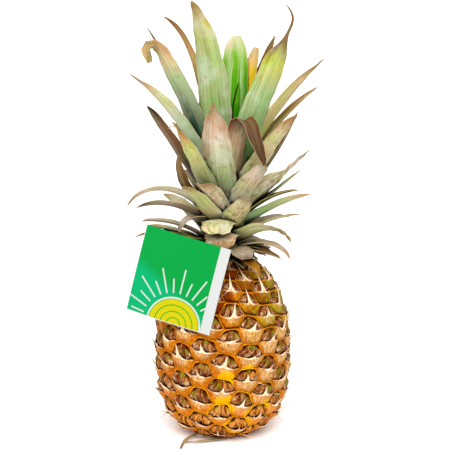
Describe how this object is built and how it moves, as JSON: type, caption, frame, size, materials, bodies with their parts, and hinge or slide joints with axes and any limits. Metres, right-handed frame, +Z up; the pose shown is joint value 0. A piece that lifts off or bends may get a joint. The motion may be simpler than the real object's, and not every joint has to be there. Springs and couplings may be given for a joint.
{
  "type": "pineapple",
  "caption": "Whole fresh pineapple standing on its cut base, with spiralling eyes and papery bracts, a crown of channelled pointed leaves, a woody cut stalk and a square green card tag",
  "frame": {"origin": "middle of the flat cut base that the fruit stands on", "axes": "+Z up along the fruit from its base to its crown, +Y away from the side with the card, +X to the right of that side"},
  "size_m": [0.1596, 0.1279, 0.3616],
  "materials": {
    "fruit": "satin",
    "crown": "satin",
    "stalk": "rough",
    "tag": "satin"
  },
  "bodies": {
    "root": {"fruit": "fruit", "crown": "crown", "stalk": "stalk", "tag": "tag"}
  },
  "joints": []
}
